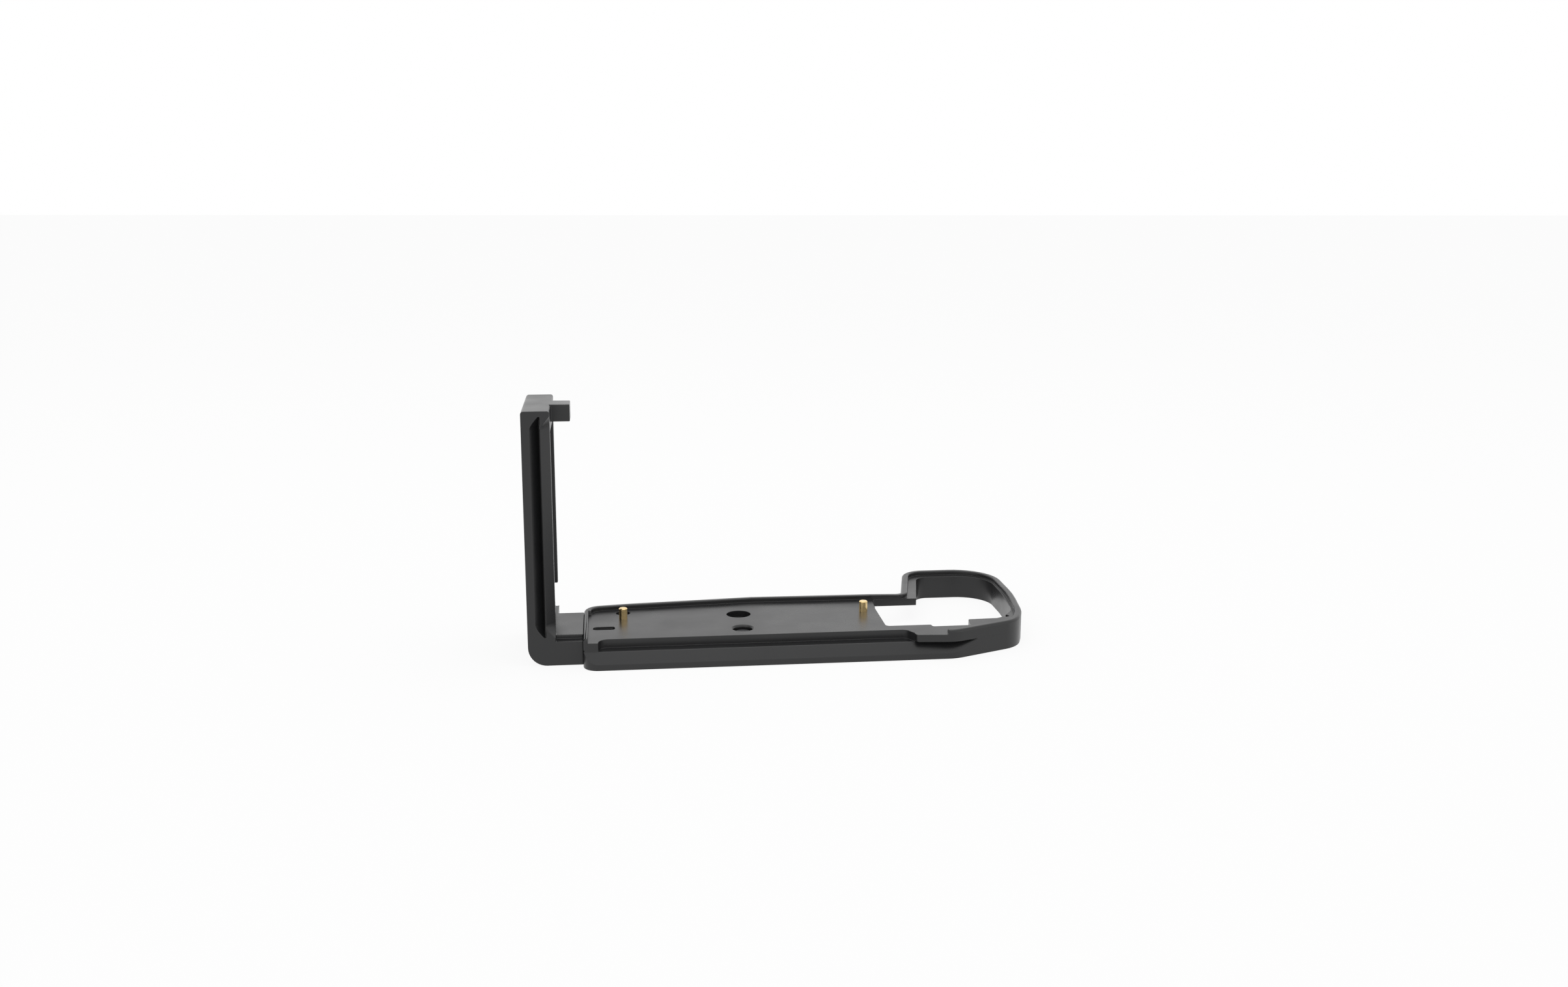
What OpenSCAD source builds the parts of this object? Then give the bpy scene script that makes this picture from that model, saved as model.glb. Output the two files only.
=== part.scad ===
// L-bracket: a base plate with a dovetail, a lip and a loop, and a side plate that slides out on rods.
// X runs along the base from the seam with the side plate, Y away from the dovetail's front edge,
// Z up. The origin is in the bottom plane, on the dovetail's centre line at the seam.

/* [Dovetail] */
// Width over the dovetail, on the base and on the side plate
dovetail_w = 38; // [34:0.5:46]
// Height of the dovetail's straight edge band on the base
band_h = 1.93; // [1.6:0.05:2.4]
// Reach of the 45 degree slope on the base
slope_reach = 3.45; // [2.5:0.05:3.6]
// Plan radius of the dovetail's two left corners
dovetail_corner_r = 5; // [2:0.5:6]

/* [Base plate] */
// Length of the base from the seam to the loop's far right
base_len = 154.1; // [150:0.5:190]
// Depth of the base from the dovetail's front edge to the loop's back
loop_back_y = 58.6; // [55:0.5:72]
// Height of the floor that the camera stands on
floor_h = 8.28; // [7.8:0.1:11]
// Height of the lip above the floor
lip_h = 1.52; // [0.8:0.1:3]
// Thickness of the lip at the back and on the loop
lip_w = 2.4; // [1.8:0.1:2.8]
// Thickness of the lip at the left end
end_lip_w = 1.5; // [1:0.1:2.2]
// Underside of the plate that overhangs the dovetail's slopes
overhang_z = 5.75; // [5.5:0.05:6]
// Y of the back edge where it bulges most
back_edge_y = 29; // [27:0.5:31]

/* [Front recess] */
// Y of the wall between the floor and the front ledge
recess_wall_y = -11.4; // [-12:0.1:-10.8]
// Width of the corner block left standing at the recess's left end
corner_block_w = 4.9; // [4:0.1:7]
// X at which the front block begins, at the recess's right end
front_block_x = 109.6; // [106:0.2:113]
// Radius of the cutter that made the recess
recess_r = 3.3; // [2:0.1:3.8]

/* [Index pins] */
// Diameter of the brass pins
pin_d = 2.9; // [2:0.1:4]
// Height of the pins above the floor
pin_h = 3.77; // [2:0.1:6]
// X of the left pin
pin_left_x = 13.35; // [12:0.1:16]
// X of the right pin
pin_right_x = 96.8; // [90:0.1:98]
// Y of both pins
pin_y = 11.6; // [11:0.1:14]
// Depth to which the pins are pressed in
pin_seat = 3; // [2:0.1:4]
// Diameter of the pins' pressed ends, below their shoulders
pin_seat_d = 2.4; // [1.6:0.1:2.6]

/* [Camera screw] */
// X of the camera screw and of the round pocket behind it
screw_x = 53.15; // [45:0.1:70]
// Y of the camera screw
screw_y = -3.6; // [-3.7:0.1:0]
// Thread diameter of the screw, a quarter inch
screw_d = 6.35; // [5:0.05:6.5]
// Diameter of the screw's neck, below its thread
neck_d = 5.2; // [4:0.1:5.4]
// Diameter of the screw's head
head_d = 12; // [10:0.1:12.4]
// Height of the screw's head
head_h = 2; // [1.6:0.1:2.4]
// Thickness of the web that the screw hangs in
web_h = 1.55; // [1.2:0.05:2]
// Travel of the screw from stored to tightened
screw_travel = 4.5; // [3.5:0.1:4.6]
// Distance across the flats of the screw's hexagon socket
screw_socket_af = 4; // [3:0.1:5]

/* [Guide rods] */
// Diameter of the two guide rods
rod_d = 4; // [3:0.1:4.4]
// Height of the rods' axes
rod_z = 4.7; // [4.6:0.1:5]
// Y of the front rod
rod_front_y = -7; // [-8:0.1:-6.2]
// Y of the rear rod
rod_rear_y = 6.5; // [5.4:0.1:7]
// Length of rod inside the base while the bracket is closed
rod_reach = 30; // [24:0.5:38]
// Depth to which the rods are pressed into the foot
rod_seat = 13; // [8:0.5:13.5]

/* [Lock screws] */
// Thread diameter of the two lock screws
lock_d = 4; // [3:0.1:5]
// X of both lock screws
lock_x = 9; // [6:0.5:18]
// Distance across the flats of a lock screw's socket
lock_socket_af = 2; // [1.3:0.1:2.5]

/* [Side plate] */
// Height of the side plate
side_h = 84.1; // [70:0.5:102]
// Thickness of the upright
upright_t = 9.07; // [8.4:0.05:10.5]
// Length of the foot from the upright's inner face to the seam
foot_len = 8.6; // [7:0.1:14]
// Y of the upright's front plane
side_front_y = -11.87; // [-13:0.1:-10.5]
// Height of the foot's top
foot_h = 9.4; // [9:0.1:11]
// Y of the foot's back face
foot_back_y = 16.8; // [14:0.1:22]
// Thickness of the upright's outer dovetail band
side_band_t = 2.5; // [2:0.1:2.8]
// Depth of the upright's grooves
groove_depth = 3; // [2.5:0.05:3.2]
// Radius of the outer corner between upright and foot
outer_corner_r = 6.2; // [3:0.1:7]
// Height at which the grooves start above the bottom
groove_low_z = 9.3; // [9:0.1:14]
// Distance from the top down to the grooves' upper ends
cap_h = 1.7; // [1.5:0.1:8]

/* [Locating tab] */
// Reach of the tab from the upright's inner face
tab_reach = 6.1; // [3:0.1:8]
// Width of the tab
tab_w = 9.1; // [6:0.1:14]
// Height of the tab
tab_h = 5.6; // [3:0.1:8]
// Y of the tab's middle
tab_y = 6.65; // [2:0.1:12]

/* [Fits] */
// Gap at the seam between the two plates
seam_gap = 0.2; // [0.1:0.05:0.3]
// Radial clearance of the rods that slide in the base
slide_clearance = 0.05; // [0.02:0.01:0.1]
// Radial clearance of a screw in its hole
screw_clearance = 0.08; // [0.05:0.01:0.1]
// Radial clearance round the screw's head
head_clearance = 0.25; // [0.15:0.05:0.4]
// Depth by which screws sit inside the plate's faces
inset_gap = 0.15; // [0.1:0.05:0.3]

/* [Hidden] */
$fn = 64;

over = 1;
arc_step = 9;
lip_top = floor_h + lip_h;
half_w = dovetail_w / 2;
neck_y = half_w - slope_reach;
ledge_z = band_h + slope_reach;
far = 200;

// Places on the loop, kept at fixed distances from its far right and back edges
loop_left_x = base_len - 34.1;
opening_left_x = base_len - 52.5;
back_join_x = base_len - 40.9;
groove_end_x = base_len - 49.6;

// Side plate
inner_x = -seam_gap - foot_len;
outer_x = inner_x - upright_t;
side_back_y = side_front_y + dovetail_w;
rib_x = outer_x + side_band_t + groove_depth + 0.5;
cutter_r = 2.07;
cutter_big_r = cutter_r + groove_depth;
run_out = sqrt(cutter_big_r * cutter_big_r - cutter_r * cutter_r);
groove_low_axis = groove_low_z + run_out;
groove_high_axis = side_h - cap_h - run_out;

// Camera screw, stored
head_low = inset_gap;
web_low = floor_h - web_h;
screw_top = floor_h - 0.4;
thread_len = 3.2;
lock_len = rod_z - rod_d / 2 - 2 * inset_gap;

alloy_color = [0.13, 0.13, 0.135];
brass_color = [0.83, 0.65, 0.33];
steel_color = [0.6, 0.6, 0.62];
dark_steel_color = [0.2, 0.2, 0.21];

// Vector helpers for outlines
function flat(v) = [v[0], v[1]];
function unit(v) = v / norm(v);
function wrap(i, n) = (i + n) % n;

// Points of one corner at b, between neighbours a and c, with radius r
function corner(a, b, c, r) =
    let (u = unit(a - b), v = unit(c - b))
    let (half = acos(u * v) / 2)
    let (reach = r / tan(half))
    let (mid = b + unit(u + v) * r / sin(half))
    let (p = b + u * reach - mid, q = b + v * reach - mid)
    let (turn = atan2(p[0] * q[1] - p[1] * q[0], p * q))
    let (n = max(2, ceil(abs(turn) / arc_step)))
    let (start = atan2(p[1], p[0]))
    [for (k = [0:n]) mid + r * [cos(start + turn * k / n), sin(start + turn * k / n)]];

// Outline with rounded corners, from a list of [x, y, radius]
function rounded(v) =
    let (n = len(v))
    [for (i = [0:n - 1])
        each corner(flat(v[wrap(i - 1, n)]), flat(v[i]), flat(v[wrap(i + 1, n)]), v[i][2])];

// Corners of an anticlockwise outline moved inwards by d, with their radii adjusted
function moved(v, d) =
    let (n = len(v))
    [for (i = [0:n - 1])
        let (u = unit(flat(v[i]) - flat(v[wrap(i - 1, n)])))
        let (w = unit(flat(v[wrap(i + 1, n)]) - flat(v[i])))
        let (shift = d * [-u[1] - w[1], u[0] + w[0]] / (1 + u * w))
        let (outward = u[0] * w[1] - u[1] * w[0] > 0)
        [v[i][0] + shift[0], v[i][1] + shift[1],
         outward ? max(v[i][2] - d, 0.3) : v[i][2] + d]];

// The loop's outside, from its front right round to its left wall
function loop_corners() = [
    [base_len - 6.9, -8.6, 12],
    [base_len - 2.7, 3, 30],
    [base_len, 24, 100],
    [base_len, loop_back_y, 16.5],
    [loop_left_x, loop_back_y, 9]
];

// Plan outline of the base below the overhang
function lower_outline() = rounded(concat(
    [[0, -half_w, dovetail_corner_r], [base_len - 30.9, -half_w, 12]],
    loop_corners(),
    [[back_join_x - 2, half_w, 3], [0, half_w, dovetail_corner_r]]
));

// Corners of the base's plan above the overhang
function upper_corners() = concat(
    [[0, -neck_y, 0.6], [front_block_x, -neck_y, 0.8], [front_block_x + 0.3, -half_w + 1.3, 1.2],
     [base_len - 31, -half_w + 0.1, 12]],
    loop_corners(),
    [[back_join_x, back_edge_y - 1.6, 2.5], [base_len * 0.38, back_edge_y + 2.4, 400],
     [0, back_edge_y - 6, 6]]
);

// Plan outline of the battery opening
function opening_outline() = rounded([
    [opening_left_x, -6.5, 1.5],
    [base_len - 37, -6.5, 0.6],
    [base_len - 36.8, -8.6, 0.8],
    [base_len - 23.6, -8.4, 0.8],
    [base_len - 23, -1.8, 0.8],
    [base_len - 12.7, -1.4, 0.8],
    [base_len - 10.2, 0, 2],
    [base_len - 4.9, 8, 12],
    [base_len - 3.1, 30, 60],
    [base_len - 3.1, loop_back_y - 5.1, 12],
    [loop_left_x + 4.4, loop_back_y - 5.1, 5],
    [base_len - 37, 18.4, 1.5],
    [opening_left_x, 17.2, 1.5]
]);

// Round bar along Z with a chamfer at each end
module turned_bar(d, z_low, z_high, chamfer) {
    rotate_extrude()
        polygon([[0, z_low], [d / 2 - chamfer, z_low], [d / 2, z_low + chamfer],
                 [d / 2, z_high - chamfer], [d / 2 - chamfer, z_high], [0, z_high]]);
}

// Plan shape extruded from z_low to z_high
module slab(points, z_low, z_high) {
    translate([0, 0, z_low])
        linear_extrude(height = z_high - z_low)
            polygon(points);
}

// Section of the space beside the base's dovetail, with the slope on its inner side
module dovetail_cutter(x_low, x_high) {
    translate([x_low, 0, 0])
        rotate([90, 0, 90])
            linear_extrude(height = x_high - x_low)
                polygon([[half_w, band_h], [neck_y, ledge_z], [neck_y, overhang_z],
                         [far, overhang_z], [far, band_h]]);
}

// Run-out of the cutter at the end of the rear slope
module dovetail_run_out(x) {
    translate([x, half_w + cutter_r, 0])
        rotate([0, 0, -90])
            rotate_extrude(angle = 90)
                polygon([[0, band_h], [cutter_r, band_h], [cutter_r + slope_reach, ledge_z],
                         [cutter_r + slope_reach, overhang_z], [0, overhang_z]]);
}

// The front ledge that makes room for the clamp's jaw
module front_recess() {
    slab(rounded([
        [corner_block_w, -half_w - over, 0.2],
        [front_block_x, -half_w - over, 0.2],
        [front_block_x, -neck_y + 0.3, 1],
        [front_block_x - 2.2, recess_wall_y, 2.6],
        [corner_block_w, recess_wall_y, recess_r]
    ]), ledge_z, lip_top + over);
}

// Space over the floor, inside the lip, open along the front
module floor_space() {
    slab(rounded(moved(upper_corners(), lip_w)), floor_h, lip_top + over);
    translate([end_lip_w, -half_w - over, floor_h])
        cube([base_len - 34.1 - end_lip_w, half_w, lip_h + over]);
    translate([end_lip_w, -half_w - over, floor_h])
        cube([6, half_w + 18, lip_h + over]);
}

// Rounded shallow pocket near the left end
module finger_pocket() {
    slab(rounded([[3.2, -0.9, 1.2], [10.4, -0.9, 1.2], [10.4, 2.5, 1.2], [3.2, 2.5, 1.2]]),
         floor_h - 0.7, floor_h + over);
}

// Bore along X that a guide rod slides in
module rod_bore(y) {
    translate([-over, y, rod_z])
        rotate([0, 90, 0])
            cylinder(d = rod_d + 2 * slide_clearance, h = rod_reach + 2 + over);
}

// Threaded hole from below for a lock screw
module lock_hole(y) {
    translate([lock_x, y, -over])
        cylinder(d = lock_d + 2 * screw_clearance, h = rod_z + over);
}

// Stepped hole for the captive camera screw
module screw_hole() {
    translate([screw_x, screw_y, 0]) {
        translate([0, 0, -over])
            cylinder(d = head_d + 2 * head_clearance, h = web_low + over);
        cylinder(d = screw_d + 2 * screw_clearance, h = floor_h + over);
        translate([0, 0, floor_h - 0.55])
            cylinder(d1 = screw_d + 2 * screw_clearance, d2 = screw_d + 2 * screw_clearance + 2.1,
                     h = 1.05);
    }
}

module base_plate() {
    color(alloy_color)
        difference() {
            union() {
                slab(lower_outline(), 0, overhang_z);
                slab(rounded(upper_corners()), overhang_z, lip_top);
            }
            floor_space();
            slab(opening_outline(), -over, lip_top + over);
            mirror([0, 1, 0])
                dovetail_cutter(-over, base_len);
            dovetail_cutter(-over, groove_end_x);
            dovetail_run_out(groove_end_x);
            front_recess();
            finger_pocket();
            rod_bore(rod_front_y);
            rod_bore(rod_rear_y);
            lock_hole(rod_front_y);
            lock_hole(rod_rear_y);
            screw_hole();
            translate([screw_x, screw_y + 16.3, floor_h - 2.4])
                cylinder(d = 8.3, h = 2.4 + over);
            translate([pin_left_x, pin_y + 6.6, floor_h - 2])
                cylinder(d = 4.8, h = 2 + over);
            for (x = [pin_left_x, pin_right_x])
                translate([x, pin_y, floor_h - pin_seat])
                    cylinder(d = pin_seat_d, h = pin_seat + over);
            translate([base_len - 9.1, 0.9, -over])
                cylinder(d = 2.4, h = lip_top + 2 * over);
        }
}

// Section that the dovetail cutter clears beside the upright, as [x, radius from its axis]
function groove_section() = [
    [outer_x + side_band_t, 0.2],
    [outer_x + side_band_t, cutter_r],
    [outer_x + side_band_t + groove_depth, cutter_r + groove_depth],
    [rib_x, cutter_r + groove_depth],
    [rib_x, cutter_r],
    [inner_x + over, cutter_r + inner_x + over - rib_x],
    [inner_x + over, 0.2]
];

// The section turned by a about the cutter's axis, at height z, to its low side or its high side
function groove_ring(z, a, side) =
    [for (p = groove_section())
        [p[0], side_front_y - cutter_r + p[1] * cos(a), z + side * p[1] * sin(a)]];

// One groove along the upright's front edge, swept with the round run-outs of its cutter
module upright_groove() {
    turn = [0:15:90];
    rings = concat([for (a = turn) groove_ring(groove_low_axis, 90 - a, -1)],
                   [for (a = turn) groove_ring(groove_high_axis, a, 1)]);
    n = len(rings[0]);
    m = len(rings);
    polyhedron(
        points = [for (ring = rings) each ring],
        faces = concat(
            [[for (k = [n - 1:-1:0]) k]],
            [[for (k = [0:n - 1]) (m - 1) * n + k]],
            [for (i = [0:m - 2], k = [0:n - 1])
                [i * n + k, i * n + wrap(k + 1, n), (i + 1) * n + wrap(k + 1, n), (i + 1) * n + k]]
        )
    );
}

// Side view of the upright and the foot's corner, as [x, z]
function upright_profile() = rounded([
    [outer_x, 0, outer_corner_r],
    [inner_x, 0, 0.3],
    [inner_x, side_h, 0.8],
    [outer_x, side_h, 1]
]);

// Bar along Y from a profile in X and Z
module bar_y(points, y_low, y_high) {
    translate([0, y_high, 0])
        rotate([90, 0, 0])
            linear_extrude(height = y_high - y_low)
                polygon(points);
}

module foot() {
    bar_y([[inner_x - 3, 0], [-seam_gap, 0], [-seam_gap, 8.05], [inner_x - 3, 8.05]],
          side_front_y, foot_back_y);
    bar_y([[inner_x - 3, 2], [-seam_gap, 2], [-seam_gap, foot_h], [inner_x - 3, foot_h]],
          side_front_y + 3.3, foot_back_y);
}

module locating_tab() {
    translate([inner_x - 1, tab_y - tab_w / 2, side_h - tab_h])
        cube([tab_reach + 1, tab_w, tab_h]);
}

// Relief behind the inside corner, open to the back
module corner_relief() {
    translate([inner_x - 1.3, side_front_y + 4.9, foot_h])
        cube([1.3 + over, dovetail_w, 9.6]);
}

module side_plate() {
    color(alloy_color)
        difference() {
            union() {
                bar_y(upright_profile(), side_front_y, side_back_y);
                foot();
                locating_tab();
            }
            upright_groove();
            translate([0, side_front_y + side_back_y, groove_low_axis + groove_high_axis])
                rotate([180, 0, 0])
                    upright_groove();
            corner_relief();
            for (y = [rod_front_y, rod_rear_y])
                translate([-seam_gap - rod_seat, y, rod_z])
                    rotate([0, 90, 0])
                        cylinder(d = rod_d, h = rod_seat + over);
        }
}

module index_pin(x) {
    chamfer = 0.25;
    color(brass_color)
        translate([x, pin_y, floor_h])
            rotate_extrude()
                polygon([[0, -pin_seat], [pin_seat_d / 2 - chamfer, -pin_seat],
                         [pin_seat_d / 2, chamfer - pin_seat], [pin_seat_d / 2, 0],
                         [pin_d / 2, 0], [pin_d / 2, pin_h - chamfer],
                         [pin_d / 2 - chamfer, pin_h], [0, pin_h]]);
}

module guide_rod(y) {
    color(steel_color)
        translate([0, y, rod_z])
            rotate([0, 90, 0])
                turned_bar(rod_d, -seam_gap - rod_seat, rod_reach, 0.4);
}

module lock_screw(y) {
    color(dark_steel_color)
        translate([lock_x, y, inset_gap])
            difference() {
                turned_bar(lock_d, 0, lock_len, 0.3);
                translate([0, 0, -over])
                    cylinder(d = lock_socket_af / cos(30), h = lock_len / 2 + over, $fn = 6);
            }
}

module camera_screw() {
    color(dark_steel_color)
        translate([screw_x, screw_y, 0])
            difference() {
                union() {
                    turned_bar(head_d, head_low, head_low + head_h, 0.4);
                    cylinder(d = neck_d, h = screw_top - 1);
                    turned_bar(screw_d, screw_top - thread_len, screw_top, 0.6);
                }
                translate([0, 0, head_low - over])
                    cylinder(d = screw_socket_af / cos(30), h = head_h + over, $fn = 6);
                translate([-far, -far, -over])
                    cube([2 * far, 2 * far, over + head_low]);
            }
}

module index_pin_left() { index_pin(pin_left_x); }
module index_pin_right() { index_pin(pin_right_x); }
module guide_rod_front() { guide_rod(rod_front_y); }
module guide_rod_rear() { guide_rod(rod_rear_y); }
module lock_screw_front() { lock_screw(rod_front_y); }
module lock_screw_rear() { lock_screw(rod_rear_y); }

base_plate();
side_plate();
index_pin_left();
index_pin_right();
guide_rod_front();
guide_rod_rear();
lock_screw_front();
lock_screw_rear();
camera_screw();
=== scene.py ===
"""Looks of a camera L-bracket: black anodised plates, brass pins, ground rods and threaded screws."""

import logging
import math
from dataclasses import dataclass
from enum import Enum

import bmesh
import bpy
from mathutils import Matrix, Vector


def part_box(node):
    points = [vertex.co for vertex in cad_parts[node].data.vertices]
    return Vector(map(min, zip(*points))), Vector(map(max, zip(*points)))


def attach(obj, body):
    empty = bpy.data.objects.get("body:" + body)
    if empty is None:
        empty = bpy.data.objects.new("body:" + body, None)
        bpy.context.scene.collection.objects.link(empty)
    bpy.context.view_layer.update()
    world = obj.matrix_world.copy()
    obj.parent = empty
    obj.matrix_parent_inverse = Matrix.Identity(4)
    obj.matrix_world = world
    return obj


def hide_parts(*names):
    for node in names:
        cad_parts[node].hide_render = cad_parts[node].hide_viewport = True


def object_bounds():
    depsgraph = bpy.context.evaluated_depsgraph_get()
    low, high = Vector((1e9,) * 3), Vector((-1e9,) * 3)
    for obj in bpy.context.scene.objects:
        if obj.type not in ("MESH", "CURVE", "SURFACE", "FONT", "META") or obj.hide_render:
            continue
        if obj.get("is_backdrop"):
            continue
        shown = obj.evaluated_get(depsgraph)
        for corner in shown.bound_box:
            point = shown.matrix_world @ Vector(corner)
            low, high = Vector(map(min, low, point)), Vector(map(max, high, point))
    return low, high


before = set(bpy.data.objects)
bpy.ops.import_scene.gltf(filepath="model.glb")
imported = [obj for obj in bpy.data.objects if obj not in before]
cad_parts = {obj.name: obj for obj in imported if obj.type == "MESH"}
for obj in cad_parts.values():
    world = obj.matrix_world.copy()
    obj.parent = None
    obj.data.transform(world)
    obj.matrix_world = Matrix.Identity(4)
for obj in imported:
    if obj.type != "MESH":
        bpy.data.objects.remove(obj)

LOG = logging.getLogger("l_bracket")
MM = 0.001
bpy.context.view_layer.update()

# The photograph's frame, and the sensor width that the focal length is written for
IMAGE_WIDTH_PX = 2408
SENSOR_WIDTH_MM = 36.0

# The camera floor's height and the length of the side plate's foot, as the CAD has them
FLOOR_MM = 8.28
FOOT_LEN_MM = 8.6

# Heights that lie clear of the base plate, below and above
CLEAR_BELOW_MM = -1.0
CLEAR_ABOVE_MM = 12.0

# A plate's mesh: what is welded, which edges are too short, and what counts as level or flat
WELD_MM = 0.002
SHORT_EDGE_MM = 0.1
LEVEL_MM = 0.01
FLAT_DEG = 0.6

# A plate's edges: which are rounded, how upright a wall is, and how far below the camera floor an
# outside wall reaches at least
SHARP_DEG = 24.0
WALL_TILT = 0.3
WALL_FOOT_MM = 0.5

# Faces across a pocket's corner, and the smallest angles that are shaded as an edge
POCKET_CORNER_SEGMENTS = 6
CREASE_DEG = 50.0
THREAD_CREASE_DEG = 30.0

# The part of a noise's range in which most of its values lie
NOISE_LOW = 0.3
NOISE_HIGH = 0.7

# Plan corners, and a ring's height with its radius in each direction
Outline = tuple[tuple[float, float], ...]
Ring = tuple[float, list[float]]


class Coat(Enum):
    """How a metal surface was finished."""

    BLASTED = "blasted"
    TURNED = "turned"
    OXIDE = "oxide"


@dataclass(frozen=True)
class Finish:
    """Values of one metal finish.

    Args:
        name: the material's name.
        coat: which shader groups dress it.
        color: base colour, linear.
        crest_color: colour of the highest grain or turning line, linear.
        metallic: metalness of the surface.
        roughness: mean roughness.
        roughness_spread: how far the roughness drifts from its mean.
        grain_mm: size of the blasted grain, or pitch of the turning lines.
        bump_mm: height of the grain.
    """

    name: str
    coat: Coat
    color: tuple[float, float, float]
    crest_color: tuple[float, float, float]
    metallic: float
    roughness: float
    roughness_spread: float
    grain_mm: float
    bump_mm: float


BLACK_ALLOY = Finish(
    name="black_anodised", coat=Coat.BLASTED,
    color=(0.011, 0.0112, 0.0118), crest_color=(0.02, 0.02, 0.021),
    metallic=0.0, roughness=0.3, roughness_spread=0.05, grain_mm=0.16, bump_mm=0.003,
)
BRASS = Finish(
    name="bright_brass", coat=Coat.TURNED,
    color=(0.82, 0.58, 0.25), crest_color=(0.93, 0.72, 0.38),
    metallic=1.0, roughness=0.2, roughness_spread=0.05, grain_mm=0.12, bump_mm=0.003,
)
GROUND_STEEL = Finish(
    name="ground_steel", coat=Coat.TURNED,
    color=(0.55, 0.55, 0.56), crest_color=(0.7, 0.7, 0.71),
    metallic=1.0, roughness=0.24, roughness_spread=0.05, grain_mm=0.1, bump_mm=0.002,
)
BLACK_STEEL = Finish(
    name="black_oxide_steel", coat=Coat.OXIDE,
    color=(0.03, 0.03, 0.032), crest_color=(0.09, 0.09, 0.095),
    metallic=0.6, roughness=0.42, roughness_spread=0.08, grain_mm=0.3, bump_mm=0.003,
)


def linked_object(name: str, mesh: bmesh.types.BMesh) -> bpy.types.Object:
    """Puts a mesh into the scene as an object, and frees it.

    Args:
        name: the object's name.
        mesh: the mesh, which is used up.

    Returns:
        The new object.
    """
    data = bpy.data.meshes.new(name)
    mesh.to_mesh(data)
    mesh.free()
    thing = bpy.data.objects.new(name, data)
    bpy.context.scene.collection.objects.link(thing)
    return thing


def shaded_piece(name: str, mesh: bmesh.types.BMesh, material: bpy.types.Material,
                 crease_deg: float) -> bpy.types.Object:
    """Makes a visible piece with smooth faces and creased edges.

    Args:
        name: the piece's name.
        mesh: its mesh, which is used up.
        material: its material.
        crease_deg: smallest angle between faces that is shaded as an edge.

    Returns:
        The piece.
    """
    piece = linked_object(name, mesh)
    piece.data.materials.append(material)
    piece.data.shade_smooth()
    piece.data.set_sharp_from_angle(angle=math.radians(crease_deg))
    LOG.info("%s: %d faces", name, len(piece.data.polygons))
    return piece


class ShaderGroups:
    """Node groups that several finishes share, each built once."""

    def __init__(self) -> None:
        """Builds the groups."""
        self.grain = self._grain()
        self.turning = self._turning()

    @staticmethod
    def _start(name: str, inputs: dict[str, float]) -> bpy.types.ShaderNodeTree:
        """Makes an empty group that puts out a height and a mask.

        Args:
            name: the group's name.
            inputs: each float input with its default value.

        Returns:
            The new node tree.
        """
        tree = bpy.data.node_groups.new(name, "ShaderNodeTree")
        for label, value in inputs.items():
            socket = tree.interface.new_socket(name=label, in_out="INPUT", socket_type="NodeSocketFloat")
            socket.default_value = value
        for label in ("Height", "Mask"):
            tree.interface.new_socket(name=label, in_out="OUTPUT", socket_type="NodeSocketFloat")
        return tree

    def _grain(self) -> bpy.types.ShaderNodeTree:
        """Fine pits left by blasting beads, with a slow drift from place to place.

        Returns:
            The group's node tree.
        """
        tree = self._start("blasted_grain", {"Scale": 6000.0, "Drift Scale": 60.0})
        nodes, links = tree.nodes, tree.links
        group_in = nodes.new("NodeGroupInput")
        group_out = nodes.new("NodeGroupOutput")
        coords = nodes.new("ShaderNodeTexCoord")
        fine = nodes.new("ShaderNodeTexNoise")
        fine.inputs["Detail"].default_value = 3.0
        fine.inputs["Roughness"].default_value = 0.6
        drift = nodes.new("ShaderNodeTexNoise")
        drift.inputs["Detail"].default_value = 4.0
        links.new(coords.outputs["Object"], fine.inputs["Vector"])
        links.new(coords.outputs["Object"], drift.inputs["Vector"])
        links.new(group_in.outputs["Scale"], fine.inputs["Scale"])
        links.new(group_in.outputs["Drift Scale"], drift.inputs["Scale"])
        links.new(fine.outputs["Fac"], group_out.inputs["Height"])
        links.new(drift.outputs["Fac"], group_out.inputs["Mask"])
        return tree

    def _turning(self) -> bpy.types.ShaderNodeTree:
        """Fine rings round the Z axis left by a turning tool.

        Returns:
            The group's node tree.
        """
        tree = self._start("turning_lines", {"Scale": 2600.0, "Drift Scale": 300.0})
        nodes, links = tree.nodes, tree.links
        group_in = nodes.new("NodeGroupInput")
        group_out = nodes.new("NodeGroupOutput")
        coords = nodes.new("ShaderNodeTexCoord")
        rings = nodes.new("ShaderNodeTexWave")
        rings.bands_direction = "Z"
        rings.inputs["Distortion"].default_value = 1.2
        rings.inputs["Detail"].default_value = 1.0
        drift = nodes.new("ShaderNodeTexNoise")
        links.new(coords.outputs["Object"], rings.inputs["Vector"])
        links.new(coords.outputs["Object"], drift.inputs["Vector"])
        links.new(group_in.outputs["Scale"], rings.inputs["Scale"])
        links.new(group_in.outputs["Drift Scale"], drift.inputs["Scale"])
        links.new(rings.outputs["Fac"], group_out.inputs["Height"])
        links.new(drift.outputs["Fac"], group_out.inputs["Mask"])
        return tree


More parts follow.
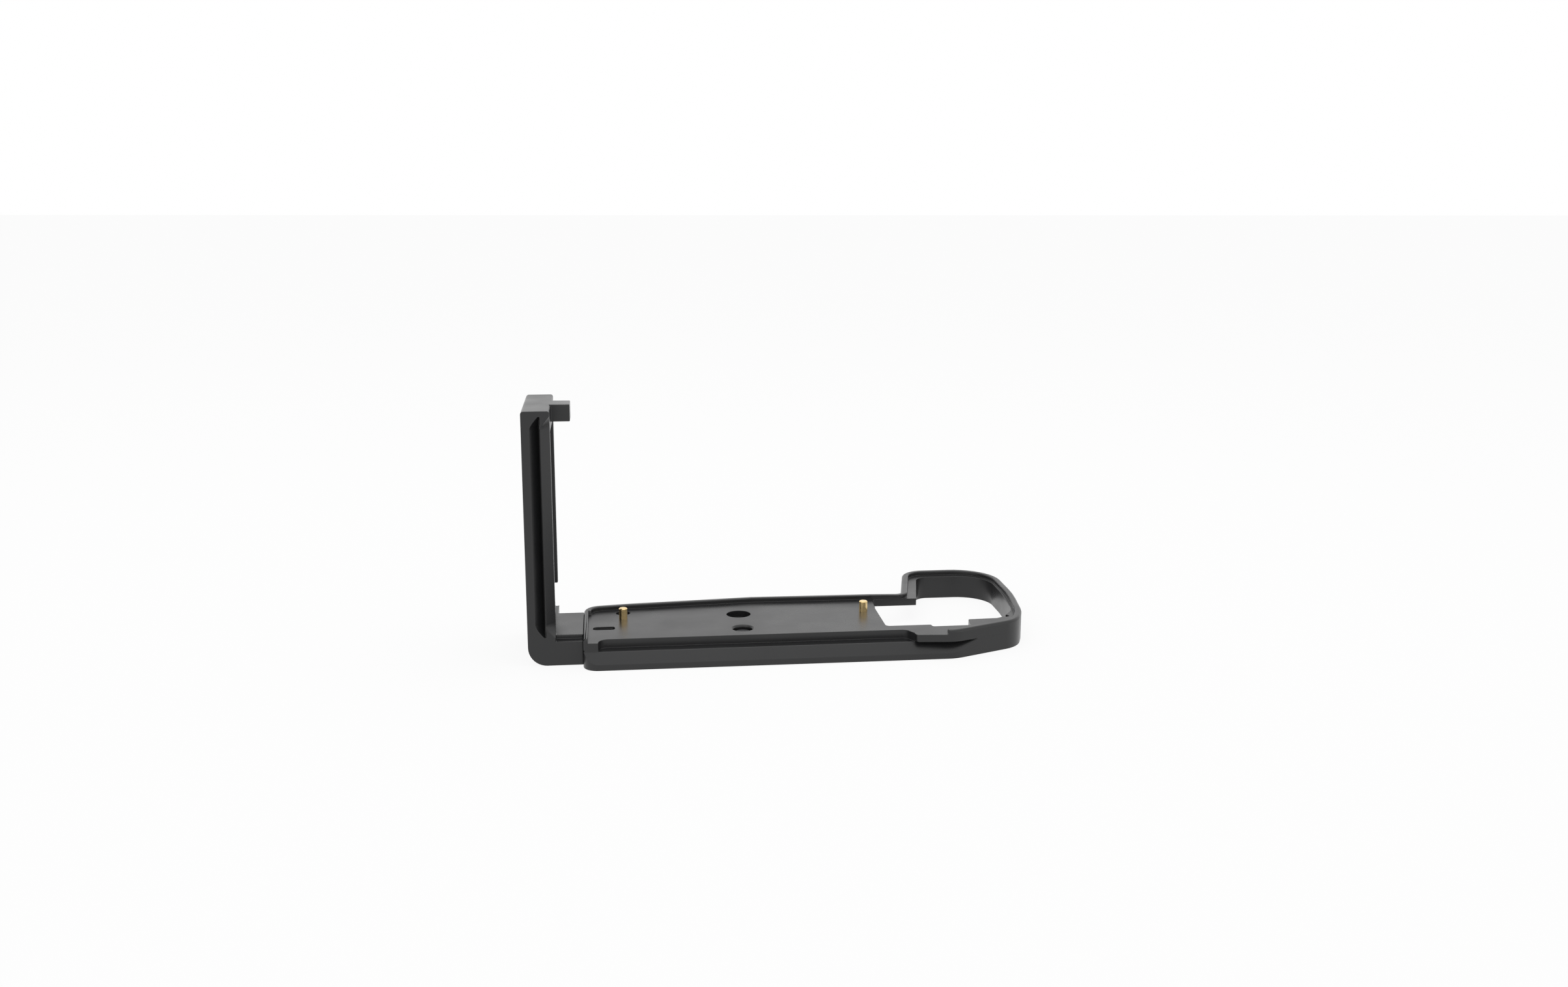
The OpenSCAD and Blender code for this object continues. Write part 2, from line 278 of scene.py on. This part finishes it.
class FinishShop:
    """Makes a material from each finish, once."""

    def __init__(self) -> None:
        """Builds the shared groups and an empty store."""
        self.groups = ShaderGroups()
        self.made: dict[str, bpy.types.Material] = {}

    def material(self, finish: Finish) -> bpy.types.Material:
        """Gives the material of a finish.

        Args:
            finish: the finish to make.

        Returns:
            Its material, made on the first call.
        """
        if finish.name not in self.made:
            self.made[finish.name] = self._build(finish)
        return self.made[finish.name]

    def _build(self, finish: Finish) -> bpy.types.Material:
        """Builds one material.

        Args:
            finish: the finish to make.

        Returns:
            The new material.
        """
        material = bpy.data.materials.new(finish.name)
        material.use_nodes = True
        nodes, links = material.node_tree.nodes, material.node_tree.links
        surface = nodes["Principled BSDF"]
        surface.inputs["Metallic"].default_value = finish.metallic
        surface.inputs["Specular IOR Level"].default_value = 0.5
        group = nodes.new("ShaderNodeGroup")
        group.node_tree = self.groups.turning if finish.coat is Coat.TURNED else self.groups.grain
        group.inputs["Scale"].default_value = 1.0 / (finish.grain_mm * MM)
        tone = nodes.new("ShaderNodeMix")
        tone.data_type = "RGBA"
        tone.inputs["A"].default_value = (*finish.color, 1.0)
        tone.inputs["B"].default_value = (*finish.crest_color, 1.0)
        rough = nodes.new("ShaderNodeMapRange")
        rough.inputs["From Min"].default_value = NOISE_LOW
        rough.inputs["From Max"].default_value = NOISE_HIGH
        rough.inputs["To Min"].default_value = finish.roughness - finish.roughness_spread
        rough.inputs["To Max"].default_value = finish.roughness + finish.roughness_spread
        bump = nodes.new("ShaderNodeBump")
        bump.inputs["Distance"].default_value = finish.bump_mm * MM
        links.new(group.outputs["Height"], tone.inputs["Factor"])
        links.new(tone.outputs["Result"], surface.inputs["Base Color"])
        links.new(group.outputs["Mask"], rough.inputs["Value"])
        links.new(rough.outputs["Result"], surface.inputs["Roughness"])
        links.new(group.outputs["Height"], bump.inputs["Height"])
        links.new(bump.outputs["Normal"], surface.inputs["Normal"])
        return material


@dataclass(frozen=True)
class Pocket:
    """A straight-walled pocket that a milling pass takes out of a plate.

    Args:
        outline_mm: its plan corners, anticlockwise.
        low_mm: height of its bottom.
        high_mm: height of its top.
        corner_mm: radius left in its corners by the cutter.
    """

    outline_mm: Outline
    low_mm: float
    high_mm: float
    corner_mm: float = 0.0

    def cutter(self) -> bpy.types.Object:
        """Makes the pocket's shape as a closed mesh.

        Returns:
            The cutter, linked to the scene until the plate is milled.
        """
        mesh = bmesh.new()
        corners = [mesh.verts.new((x * MM, y * MM, self.low_mm * MM)) for x, y in self.outline_mm]
        base = mesh.faces.new(corners)
        grown = bmesh.ops.extrude_face_region(mesh, geom=[base])["geom"]
        lifted = [item for item in grown if isinstance(item, bmesh.types.BMVert)]
        bmesh.ops.translate(mesh, verts=lifted, vec=(0.0, 0.0, (self.high_mm - self.low_mm) * MM))
        upright = [e for e in mesh.edges if abs(e.verts[0].co.z - e.verts[1].co.z) > LEVEL_MM * MM]
        if self.corner_mm > 0.0:
            bmesh.ops.bevel(mesh, geom=upright, offset=self.corner_mm * MM, offset_type="OFFSET",
                            segments=POCKET_CORNER_SEGMENTS, profile=0.5, affect="EDGES", material=-1)
        bmesh.ops.recalc_face_normals(mesh, faces=mesh.faces)
        return linked_object("pocket", mesh)


def rectangle(x_low: float, x_high: float, y_low: float, y_high: float) -> Outline:
    """Gives the corners of a rectangle, anticlockwise.

    Args:
        x_low: its left edge.
        x_high: its right edge.
        y_low: its front edge.
        y_high: its back edge.

    Returns:
        The four corners.
    """
    return ((x_low, y_low), (x_high, y_low), (x_high, y_high), (x_low, y_high))


@dataclass(frozen=True)
class EdgeBreak:
    """One pass of edge rounding.

    Args:
        offset_mm: how far the rounding reaches from the edge.
        segments: faces across the rounding.
    """

    offset_mm: float
    segments: int


@dataclass
class MachinedPlate:
    """A milled plate: a welded copy of its CAD node, with its edges softened.

    Args:
        node: the CAD node that it stands for.
        body: the body that it rides on.
        piece_name: the name of the visible piece.
        rim: rounding of the highest outside edges, or None where they are like the rest.
        rim_inside: rounding of the highest inside edges, or None.
        plain: rounding of every other sharp edge.
        pockets: what is milled out of the plate besides its CAD form.
        seam_reach_mm: how far the face at the seam is brought towards the other plate.
    """

    node: str
    body: str
    piece_name: str
    rim: EdgeBreak | None
    rim_inside: EdgeBreak | None
    plain: EdgeBreak
    pockets: tuple[Pocket, ...] = ()
    seam_reach_mm: float = 0.0

    @staticmethod
    def _milled(mesh: bmesh.types.BMesh, pocket: Pocket) -> bmesh.types.BMesh:
        """Takes one pocket out of the mesh.

        Args:
            mesh: the closed mesh, which is used up.
            pocket: what to take out.

        Returns:
            The milled mesh.
        """
        blank = linked_object("blank", mesh)
        cutter = pocket.cutter()
        mill = blank.modifiers.new("mill", "BOOLEAN")
        mill.operation = "DIFFERENCE"
        mill.solver = "EXACT"
        mill.object = cutter
        graph = bpy.context.evaluated_depsgraph_get()
        milled = bmesh.new()
        milled.from_mesh(blank.evaluated_get(graph).to_mesh())
        for used in (blank, cutter):
            bpy.data.objects.remove(used)
        return milled

    def _welded(self) -> bmesh.types.BMesh:
        """Copies the node's mesh, welds its loose triangles, mills it and clears flat edges.

        Returns:
            The milled mesh.
        """
        mesh = bmesh.new()
        mesh.from_mesh(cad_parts[self.node].data)
        bmesh.ops.remove_doubles(mesh, verts=mesh.verts, dist=WELD_MM * MM)
        for pocket in self.pockets:
            mesh = self._milled(mesh, pocket)
        seam = max(v.co.x for v in mesh.verts)
        for vert in mesh.verts:
            if self.seam_reach_mm > 0.0 and seam - vert.co.x < WELD_MM * MM:
                vert.co.x += self.seam_reach_mm * MM
        bmesh.ops.remove_doubles(mesh, verts=mesh.verts, dist=SHORT_EDGE_MM * MM)
        bmesh.ops.dissolve_degenerate(mesh, dist=WELD_MM * MM, edges=mesh.edges)
        bmesh.ops.dissolve_limit(mesh, angle_limit=math.radians(FLAT_DEG), verts=mesh.verts,
                                 edges=mesh.edges)
        return mesh

    @staticmethod
    def _sharp(edge: bmesh.types.BMEdge) -> bool:
        """Says whether an edge is sharp enough to round.

        Args:
            edge: the edge.

        Returns:
            True where exactly two faces meet at more than the sharp angle.
        """
        if len(edge.link_faces) != 2:
            return False
        return edge.calc_face_angle(0.0) > math.radians(SHARP_DEG)

    @staticmethod
    def _rim_kind(edge: bmesh.types.BMEdge, top: float) -> str:
        """Sorts an edge by its place on the plate's rim.

        Args:
            edge: the edge.
            top: height of the topmost face, in metres.

        Returns:
            "outside" over a wall that reaches below the camera floor, "inside" over a shorter
            wall, or "none" off the rim.
        """
        if any(abs(v.co.z - top) > LEVEL_MM * MM for v in edge.verts):
            return "none"
        walls = [f for f in edge.link_faces if abs(f.normal.z) < WALL_TILT]
        if not walls:
            return "none"
        low = min(v.co.z for v in walls[0].verts)
        return "outside" if low < (FLOOR_MM - WALL_FOOT_MM) * MM else "inside"

    @staticmethod
    def _bevel(mesh: bmesh.types.BMesh, edges: list[bmesh.types.BMEdge], cut: EdgeBreak) -> None:
        """Rounds some edges.

        Args:
            mesh: the mesh to change.
            edges: the edges to round.
            cut: the rounding.
        """
        if not edges:
            return
        bmesh.ops.bevel(mesh, geom=edges, offset=cut.offset_mm * MM, offset_type="OFFSET",
                        segments=cut.segments, profile=0.5, affect="EDGES", material=-1,
                        clamp_overlap=False, loop_slide=True, miter_inner="SHARP")

    def build(self, shop: FinishShop, finish: Finish) -> bpy.types.Object:
        """Makes the plate and puts it on its body.

        Args:
            shop: where materials are made.
            finish: the plate's finish.

        Returns:
            The visible piece.
        """
        mesh = self._welded()
        low = [min(v.co[axis] for v in mesh.verts) for axis in range(3)]
        high = [max(v.co[axis] for v in mesh.verts) for axis in range(3)]
        top = high[2]
        for kind, cut in (("outside", self.rim), ("inside", self.rim_inside)):
            if cut is not None:
                self._bevel(mesh, [e for e in mesh.edges if self._sharp(e)
                                   and self._rim_kind(e, top) == kind], cut)
        self._bevel(mesh, [e for e in mesh.edges if self._sharp(e)
                           and (self.rim is None or self._rim_kind(e, top) == "none")], self.plain)
        for vert in mesh.verts:
            vert.co = [min(max(vert.co[axis], low[axis]), high[axis]) for axis in range(3)]
        piece = shaded_piece(self.piece_name, mesh, shop.material(finish), CREASE_DEG)
        flat = piece.modifiers.new("flat_faces_stay_flat", "WEIGHTED_NORMAL")
        flat.keep_sharp = True
        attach(piece, self.body)
        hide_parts(self.node)
        return piece


@dataclass
class ThreadedScrew:
    """A socket screw with a real helical thread, standing for its CAD node.

    Args:
        node: the CAD node that it stands for.
        body: the body that it rides on.
        thread_mm: diameter over the thread.
        thread_len_mm: length of the thread, down from the tip.
        pitch_mm: pitch of the thread.
        socket_af_mm: distance across the flats of the socket.
        socket_deep_mm: depth of the socket, up from the lower end.
        chamfer_mm: chamfer of the head's edges.
        head_mm: diameter of the head, or 0 for a set screw.
        head_h_mm: height of the head.
        neck_mm: diameter of the neck between head and thread.
        tip_drop_mm: how far the tip stays below the CAD node's top.
        sides: faces round the screw.
        rows_per_turn: rows of faces along one turn of the thread.
        depth_share: depth of the thread as a share of its pitch.
        flank_slope: steepness of the thread's flanks, above 1 for flat crests.
        fade_share: length over which the thread runs out, as a share of its pitch.
        socket_chamfer_mm: chamfer of the socket's mouth.
    """

    node: str
    body: str
    thread_mm: float
    thread_len_mm: float
    pitch_mm: float
    socket_af_mm: float
    socket_deep_mm: float
    chamfer_mm: float = 0.0
    head_mm: float = 0.0
    head_h_mm: float = 0.0
    neck_mm: float = 0.0
    tip_drop_mm: float = 0.0
    sides: int = 72
    rows_per_turn: int = 10
    depth_share: float = 0.5
    flank_slope: float = 1.6
    fade_share: float = 0.4
    socket_chamfer_mm: float = 0.15

    def _hexagon(self, angle: float) -> float:
        """Gives the socket's radius in one direction.

        Args:
            angle: the direction, in radians.

        Returns:
            The radius in millimetres.
        """
        sixth = math.pi / 3.0
        return self.socket_af_mm / 2.0 / math.cos((angle + sixth / 2.0) % sixth - sixth / 2.0)

    def _crest(self, angle: float, up: float) -> float:
        """Gives the thread's radius at one place.

        Args:
            angle: direction round the screw, in radians.
            up: height above the thread's lower end, in millimetres.

        Returns:
            The radius in millimetres.
        """
        turn = (up / self.pitch_mm - angle / math.tau) % 1.0
        ridge = min(1.0, self.flank_slope * abs(2.0 * turn - 1.0))
        run_out = self.fade_share * self.pitch_mm
        fade = min(1.0, up / run_out, (self.thread_len_mm - up) / run_out)
        return self.thread_mm / 2.0 - self.depth_share * self.pitch_mm * (1.0 - ridge * max(fade, 0.0))

    def _head_rings(self, low: float, thread_low: float) -> list[Ring]:
        """Lists the rings from the lower end's rim up to the thread.

        Args:
            low: height of the lower end, in millimetres.
            thread_low: height at which the thread starts, in millimetres.

        Returns:
            Each ring's height and its radius in each direction.
        """
        if self.head_mm == 0.0:
            walls = [(low, self.thread_mm - self.pitch_mm)]
        else:
            face = self.head_mm - 2.0 * self.chamfer_mm
            head_top = low + self.head_h_mm
            walls = [(low, face), (low + self.chamfer_mm, self.head_mm),
                     (head_top - self.chamfer_mm, self.head_mm), (head_top, face),
                     (head_top, self.neck_mm), (thread_low, self.neck_mm)]
        return [(z, [diameter / 2.0] * self.sides) for z, diameter in walls]

    def _rings(self, low: float, high: float) -> list[Ring]:
        """Lists the rings from the socket's bottom, round the outside, to the tip.

        Args:
            low: height of the lower end, in millimetres.
            high: height of the tip, in millimetres.

        Returns:
            Each ring's height and its radius in each direction.
        """
        around = [math.tau * k / self.sides for k in range(self.sides)]
        hexagon = [self._hexagon(a) for a in around]
        thread_low = high - self.thread_len_mm
        rings = [(low + self.socket_deep_mm, hexagon), (low + self.socket_chamfer_mm, hexagon),
                 (low, [r + self.socket_chamfer_mm for r in hexagon])]
        rings += self._head_rings(low, thread_low)
        rows = round(self.rows_per_turn * self.thread_len_mm / self.pitch_mm)
        for k in range(rows + 1):
            up = self.thread_len_mm * k / rows
            rings.append((thread_low + up, [self._crest(a, up) for a in around]))
        return rings

    def build(self, shop: FinishShop, finish: Finish) -> bpy.types.Object:
        """Makes the screw and puts it on its body.

        Args:
            shop: where materials are made.
            finish: the screw's finish.

        Returns:
            The visible piece.
        """
        low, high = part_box(self.node)
        axis = Vector(((low[0] + high[0]) / 2.0, (low[1] + high[1]) / 2.0, 0.0))
        mesh = bmesh.new()
        loops = []
        for z, radii in self._rings(low[2] / MM, high[2] / MM - self.tip_drop_mm):
            spots = [axis + Vector((r * math.cos(math.tau * k / self.sides) * MM,
                                    r * math.sin(math.tau * k / self.sides) * MM, z * MM))
                     for k, r in enumerate(radii)]
            loops.append([mesh.verts.new(spot) for spot in spots])
        for one, two in zip(loops, loops[1:]):
            for k in range(self.sides):
                after = (k + 1) % self.sides
                mesh.faces.new((one[k], one[after], two[after], two[k]))
        for end in (loops[0], loops[-1]):
            mesh.faces.new(end)
        bmesh.ops.recalc_face_normals(mesh, faces=mesh.faces)
        piece = shaded_piece(f"{self.node}_threaded", mesh, shop.material(finish), THREAD_CREASE_DEG)
        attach(piece, self.body)
        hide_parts(self.node)
        return piece


@dataclass
class PinsAndRods:
    """The pins and rods, which stay as the CAD made them and take a finish.

    Args:
        finishes: the finish of each CAD node.
    """

    finishes: dict[str, Finish]

    def dress(self, shop: FinishShop) -> None:
        """Gives each node its finish.

        Args:
            shop: where materials are made.
        """
        for node, finish in self.finishes.items():
            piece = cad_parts[node]
            piece.data.materials.clear()
            piece.data.materials.append(shop.material(finish))
            LOG.info("%s: %s", node, finish.name)


@dataclass(frozen=True)
class ViewPoint:
    """The camera: where it stands and how it is turned.

    Args:
        focal_px: focal length in pixels of the full frame.
        place_mm: the lens's place.
        pitch: turn down from level, in radians.
        yaw: turn towards +X, in radians.
        roll: turn about the view axis, in radians.
        near: nearest distance that shows, in metres.
        far: furthest distance that shows, in metres.
    """

    focal_px: float = 2270.55
    place_mm: tuple[float, float, float] = (10.255, -478.987, 156.178)
    pitch: float = 0.209892
    yaw: float = 0.118751
    roll: float = 0.003233
    near: float = 0.01
    far: float = 20.0

    def build(self) -> bpy.types.Object:
        """Makes the scene's camera.

        Returns:
            The camera object.
        """
        forward = Vector((math.sin(self.yaw) * math.cos(self.pitch),
                          math.cos(self.yaw) * math.cos(self.pitch), -math.sin(self.pitch)))
        level = Vector((math.cos(self.yaw), -math.sin(self.yaw), 0.0))
        upright = level.cross(forward)
        right = math.cos(self.roll) * level + math.sin(self.roll) * upright
        up = math.cos(self.roll) * upright - math.sin(self.roll) * level
        turn = Matrix((right, up, -forward)).transposed().to_4x4()
        data = bpy.data.cameras.new("view")
        data.sensor_fit = "HORIZONTAL"
        data.sensor_width = SENSOR_WIDTH_MM
        data.lens = self.focal_px * SENSOR_WIDTH_MM / IMAGE_WIDTH_PX
        data.clip_start = self.near
        data.clip_end = self.far
        camera = bpy.data.objects.new("view", data)
        camera.matrix_world = Matrix.Translation(Vector(self.place_mm) * MM) @ turn
        bpy.context.scene.collection.objects.link(camera)
        bpy.context.scene.camera = camera
        return camera


@dataclass(frozen=True)
class SoftBox:
    """One large soft lamp.

    Args:
        name: the lamp's name.
        place: its middle, in metres.
        aim: the point that it faces, in metres.
        size: width and height, in metres.
        power: power in watts.
    """

    name: str
    place: tuple[float, float, float]
    aim: tuple[float, float, float]
    size: tuple[float, float]
    power: float

    def build(self) -> None:
        """Puts the lamp in the scene."""
        data = bpy.data.lights.new(self.name, "AREA")
        data.shape = "RECTANGLE"
        data.size, data.size_y = self.size
        data.energy = self.power
        lamp = bpy.data.objects.new(self.name, data)
        lamp.location = self.place
        lamp.rotation_euler = (Vector(self.aim) - Vector(self.place)).to_track_quat("-Z", "Y").to_euler()
        bpy.context.scene.collection.objects.link(lamp)


@dataclass
class Studio:
    """A white floor, a pale sky and soft lamps.

    Args:
        boxes: the lamps.
        sky: brightness of the surroundings as a light.
        glow_share: share of the floor's look that is its own white, not the light on it.
        glow: strength of that white, which makes up for what the light on the floor lacks.
        paint: the floor's own grey, linear.
        floor_half: half the floor's width, in metres.
        floor_gap_mm: how far the floor lies below the part.
    """

    boxes: tuple[SoftBox, ...] = (
        SoftBox("overhead", place=(0.05, 0.1, 0.9), aim=(0.06, 0.0, 0.0), size=(0.9, 0.7), power=1.5),
        SoftBox("front_left", place=(-0.8, -0.8, 0.5), aim=(0.05, 0.0, 0.03), size=(0.6, 0.6), power=0.6),
        SoftBox("front_right", place=(0.9, -0.7, 0.4), aim=(0.05, 0.0, 0.03), size=(0.6, 0.6), power=0.4),
    )
    sky: float = 0.6
    glow_share: float = 0.85
    glow: float = 1.05
    paint: float = 0.82
    floor_half: float = 6.0
    floor_gap_mm: float = 0.02

    @staticmethod
    def _seen(tree: bpy.types.NodeTree) -> bpy.types.NodeSocket:
        """Tells the rays that show the background from the rays that light the part.

        Args:
            tree: the node tree to add to.

        Returns:
            A socket that is 1 for camera, glossy and transmission rays, and 0 for others.
        """
        path = tree.nodes.new("ShaderNodeLightPath")
        seen = path.outputs["Is Camera Ray"]
        for label in ("Is Glossy Ray", "Is Transmission Ray"):
            either = tree.nodes.new("ShaderNodeMath")
            either.operation = "MAXIMUM"
            tree.links.new(seen, either.inputs[0])
            tree.links.new(path.outputs[label], either.inputs[1])
            seen = either.outputs["Value"]
        return seen

    def _pale(self, name: str) -> bpy.types.Material:
        """Makes the floor's material: matt white that also shows white and keeps the shadow.

        Args:
            name: the material's name.

        Returns:
            The material.
        """
        material = bpy.data.materials.new(name)
        material.use_nodes = True
        tree = material.node_tree
        nodes, links = tree.nodes, tree.links
        surface = nodes["Principled BSDF"]
        surface.inputs["Base Color"].default_value = (self.paint, self.paint, self.paint, 1.0)
        surface.inputs["Roughness"].default_value = 0.9
        surface.inputs["Specular IOR Level"].default_value = 0.0
        glow = nodes.new("ShaderNodeEmission")
        glow.inputs["Strength"].default_value = self.glow
        share = nodes.new("ShaderNodeMath")
        share.operation = "MULTIPLY"
        share.inputs[1].default_value = self.glow_share
        choice = nodes.new("ShaderNodeMixShader")
        links.new(self._seen(tree), share.inputs[0])
        links.new(share.outputs["Value"], choice.inputs["Fac"])
        links.new(surface.outputs["BSDF"], choice.inputs[1])
        links.new(glow.outputs["Emission"], choice.inputs[2])
        links.new(choice.outputs["Shader"], nodes["Material Output"].inputs["Surface"])
        return material

    def _floor(self) -> None:
        """Lays the floor under the part."""
        mesh = bmesh.new()
        bmesh.ops.create_grid(mesh, x_segments=1, y_segments=1, size=self.floor_half)
        floor = linked_object("floor", mesh)
        floor.data.materials.append(self._pale("pale_floor"))
        floor.location = (0.0, 0.0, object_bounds()[0][2] - self.floor_gap_mm * MM)
        floor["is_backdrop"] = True

    def _sky(self) -> None:
        """Makes surroundings that light softly and look white."""
        world = bpy.data.worlds.new("pale_room")
        bpy.context.scene.world = world
        world.use_nodes = True
        nodes, links = world.node_tree.nodes, world.node_tree.links
        nodes.clear()
        strength = nodes.new("ShaderNodeMix")
        strength.data_type = "FLOAT"
        strength.inputs["A"].default_value = self.sky
        strength.inputs["B"].default_value = 1.0
        back = nodes.new("ShaderNodeBackground")
        back.inputs["Color"].default_value = (1.0, 1.0, 1.0, 1.0)
        out = nodes.new("ShaderNodeOutputWorld")
        links.new(self._seen(world.node_tree), strength.inputs["Factor"])
        links.new(strength.outputs["Result"], back.inputs["Strength"])
        links.new(back.outputs["Background"], out.inputs["Surface"])

    def build(self) -> None:
        """Builds the floor, the sky and the lamps."""
        self._floor()
        self._sky()
        for box in self.boxes:
            box.build()
        bpy.context.scene.view_settings.view_transform = "Standard"


@dataclass(frozen=True)
class BaseMilling:
    """What is milled out of the base plate besides its CAD form, in millimetres.

    Each left and right is a distance in from the loop's far right, and each front and back is a
    place along Y.

    Args:
        opening_left: left edge of the battery opening's rear part, at its front.
        opening_left_back: the same edge at its back.
        opening_right: right edge of that part.
        opening_front: where that part starts, inside the CAD's opening.
        opening_back: the opening's rear edge.
        opening_corner: radius of the corners.
        strip_left: left end of the space under the strip behind the opening.
        strip_right: right end of that space.
        strip_front: front of that space.
        strip_back: back of that space.
        strip_low: underside of the strip.
        lip_left: left end of the cut that ends the front lip.
        lip_right: where the lip starts.
        lip_front: front of that cut.
        lip_back: back of that cut.
    """

    opening_left: float = 52.3
    opening_left_back: float = 51.7
    opening_right: float = 34.0
    opening_front: float = 16.0
    opening_back: float = 25.2
    opening_corner: float = 1.0
    strip_left: float = 50.0
    strip_right: float = 25.0
    strip_front: float = 20.0
    strip_back: float = 46.0
    strip_low: float = 5.75
    lip_left: float = 37.0
    lip_right: float = 33.6
    lip_front: float = -20.0
    lip_back: float = -11.0

    def pockets(self) -> tuple[Pocket, ...]:
        """Places the cuts on the plate.

        Returns:
            The opening's rear part, the space under the strip and the cut that ends the lip.
        """
        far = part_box("base_plate")[1][0] / MM
        right = far - self.opening_right
        opening = ((far - self.opening_left, self.opening_front), (right, self.opening_front),
                   (right, self.opening_back), (far - self.opening_left_back, self.opening_back))
        strip = rectangle(far - self.strip_left, far - self.strip_right, self.strip_front,
                          self.strip_back)
        lip = rectangle(far - self.lip_left, far - self.lip_right, self.lip_front, self.lip_back)
        return (Pocket(opening, CLEAR_BELOW_MM, CLEAR_ABOVE_MM, self.opening_corner),
                Pocket(strip, CLEAR_BELOW_MM, self.strip_low),
                Pocket(lip, FLOOR_MM, CLEAR_ABOVE_MM))


@dataclass(frozen=True)
class UprightMilling:
    """The shallow recess in the upright's inner face, in millimetres.

    Args:
        deep: depth of the recess.
        clear: how far the cutter stands out of the face.
        front: the recess's front edge.
        back: its back edge.
        low: its lower end.
        high: its upper end.
    """

    deep: float = 1.3
    clear: float = 1.0
    front: float = -7.0
    back: float = 21.2
    low: float = 18.5
    high: float = 76.8

    def pockets(self) -> tuple[Pocket, ...]:
        """Places the recess on the upright.

        Returns:
            The recess.
        """
        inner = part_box("side_plate")[1][0] / MM - FOOT_LEN_MM
        plan = rectangle(inner - self.deep, inner + self.clear, self.front, self.back)
        return (Pocket(plan, self.low, self.high),)


def build_plates(shop: FinishShop) -> None:
    """Makes both milled plates.

    Args:
        shop: where materials are made.
    """
    MachinedPlate("base_plate", "base", "base_plate_machined",
                  rim=EdgeBreak(offset_mm=1.0, segments=5),
                  rim_inside=EdgeBreak(offset_mm=0.45, segments=4),
                  plain=EdgeBreak(offset_mm=0.16, segments=3),
                  pockets=BaseMilling().pockets()).build(shop, BLACK_ALLOY)
    MachinedPlate("side_plate", "side", "side_plate_machined", rim=None, rim_inside=None,
                  plain=EdgeBreak(offset_mm=0.25, segments=3),
                  pockets=UprightMilling().pockets(), seam_reach_mm=0.17).build(shop, BLACK_ALLOY)


def build_screws(shop: FinishShop) -> None:
    """Makes the camera screw and both lock screws.

    Args:
        shop: where materials are made.
    """
    ThreadedScrew("camera_screw", "camera_screw", thread_mm=6.35, thread_len_mm=2.3, pitch_mm=1.27,
                  socket_af_mm=4.0, socket_deep_mm=2.0, chamfer_mm=0.4, head_mm=12.0, head_h_mm=2.0,
                  neck_mm=5.2, tip_drop_mm=0.9).build(shop, BLACK_STEEL)
    for place in ("front", "rear"):
        ThreadedScrew(f"lock_screw_{place}", f"lock_{place}", thread_mm=4.0, thread_len_mm=2.4,
                      pitch_mm=0.7, socket_af_mm=2.0, socket_deep_mm=1.2).build(shop, BLACK_STEEL)


def main() -> None:
    """Builds the sub-assemblies in order."""
    logging.basicConfig(level=logging.INFO)
    shop = FinishShop()
    ViewPoint().build()
    Studio().build()
    build_plates(shop)
    build_screws(shop)
    PinsAndRods({
        "index_pin_left": BRASS,
        "index_pin_right": BRASS,
        "guide_rod_front": GROUND_STEEL,
        "guide_rod_rear": GROUND_STEEL,
    }).dress(shop)


if __name__ == "__main__":
    main()
